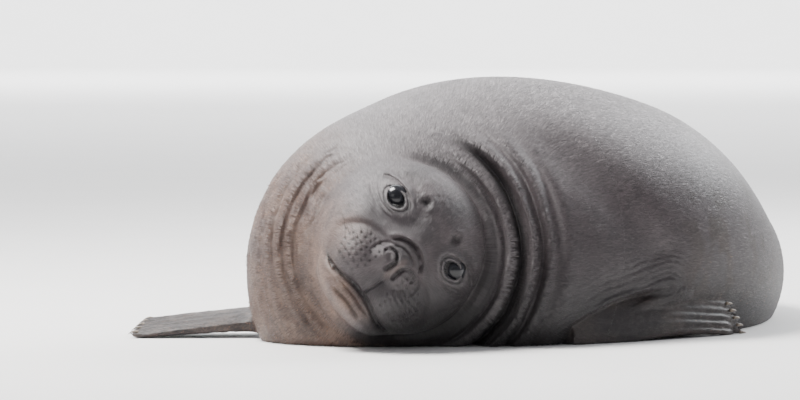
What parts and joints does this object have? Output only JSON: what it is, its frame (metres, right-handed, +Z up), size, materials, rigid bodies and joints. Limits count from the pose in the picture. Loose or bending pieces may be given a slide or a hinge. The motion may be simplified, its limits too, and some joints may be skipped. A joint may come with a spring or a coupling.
{
  "type": "young elephant seal",
  "caption": "Life-size model of a young elephant seal lying on its belly, its head turned back along its flank and tilted, for museum or scenery use.",
  "frame": {"origin": "on the floor, under the middle of the box that holds the whole seal", "axes": "+Z up, +Y from the face back to the hind flippers, +X towards the seal's left side as seen on the right of the picture"},
  "size_m": [1.022, 1.6356, 0.3885],
  "materials": {
    "hide": "short dense grey fur over folded skin, with dried sand on the throat",
    "flipper": "dark, thinly furred webbed skin",
    "eye": "wet, near black",
    "claw": "pale dull horn"
  },
  "bodies": {
    "root": {"belly": "hide", "chest": "hide", "claw_left_1": "claw", "claw_left_2": "claw", "claw_left_3": "claw", "claw_left_4": "claw", "claw_left_5": "claw", "claw_right_1": "claw", "claw_right_2": "claw", "claw_right_3": "claw", "claw_right_4": "claw", "claw_right_5": "claw", "eye_left": "eye", "eye_right": "eye", "fore_flipper_left": "flipper", "fore_flipper_right": "flipper", "head": "hide", "hind_flipper_left": "flipper", "hind_flipper_right": "flipper", "neck": "hide", "rump": "hide", "tail": "hide"}
  },
  "joints": []
}
